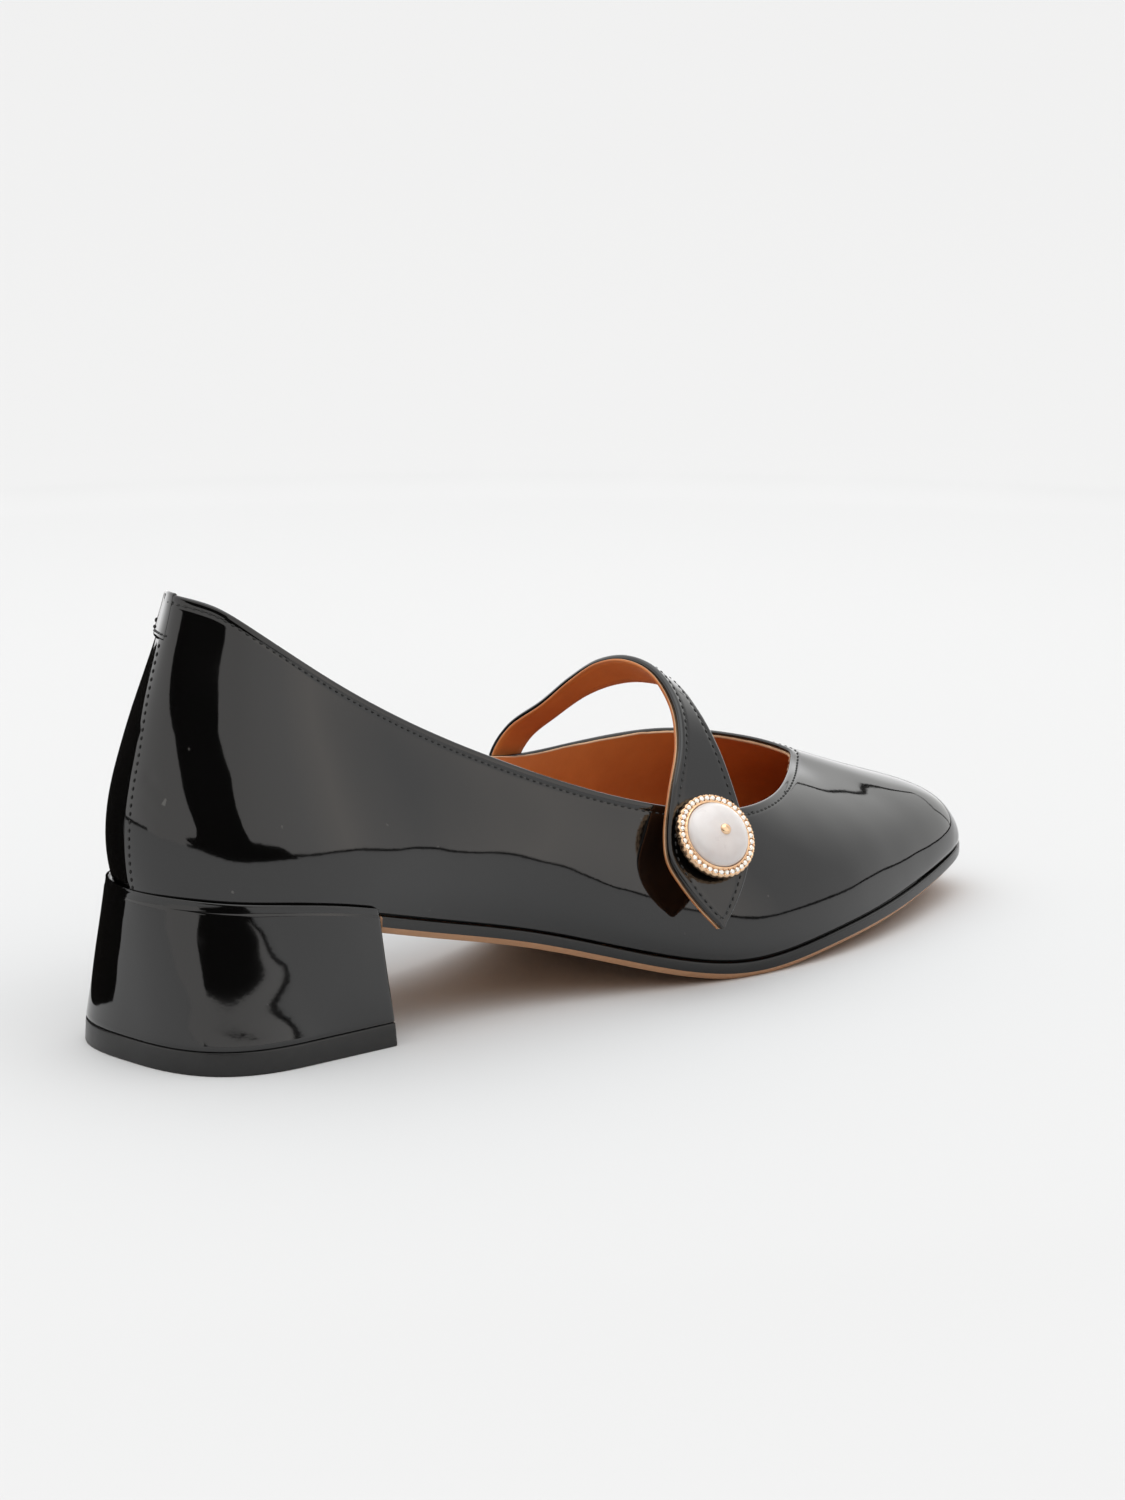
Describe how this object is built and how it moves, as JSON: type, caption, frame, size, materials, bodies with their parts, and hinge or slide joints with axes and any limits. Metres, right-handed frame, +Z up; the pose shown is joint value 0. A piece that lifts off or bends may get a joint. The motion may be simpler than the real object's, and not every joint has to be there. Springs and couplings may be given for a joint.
{
  "type": "mary jane pump",
  "caption": "Low block-heeled mary jane pump: hollow patent upper open at topline and throat, instep strap with pointed tab and pearl button, soft square toe, leather sole.",
  "frame": {"origin": "middle of the flat ground face of the top lift under the heel", "axes": "+X from heel to toe, +Y to the inner side of the foot, +Z up from the floor"},
  "size_m": [0.2479, 0.0852, 0.1032],
  "materials": {
    "sole_leather": "smooth tan leather with a black painted edge",
    "patent_leather": "black patent, mirror gloss",
    "lining_leather": "tan lining leather, soft satin",
    "heel_patent": "block covered in black patent",
    "lift_rubber": "satin black rubber",
    "gilt_metal": "pale gilt metal set with clear crystals",
    "pearl": "white pearl lacquer"
  },
  "bodies": {
    "root": {"outsole": "sole_leather", "upper": "patent_leather", "insole": "lining_leather", "heel": "heel_patent", "top_lift": "lift_rubber", "back_tab": "patent_leather", "strap": "patent_leather", "button_bezel": "gilt_metal", "button_pearl": "pearl"}
  },
  "joints": []
}
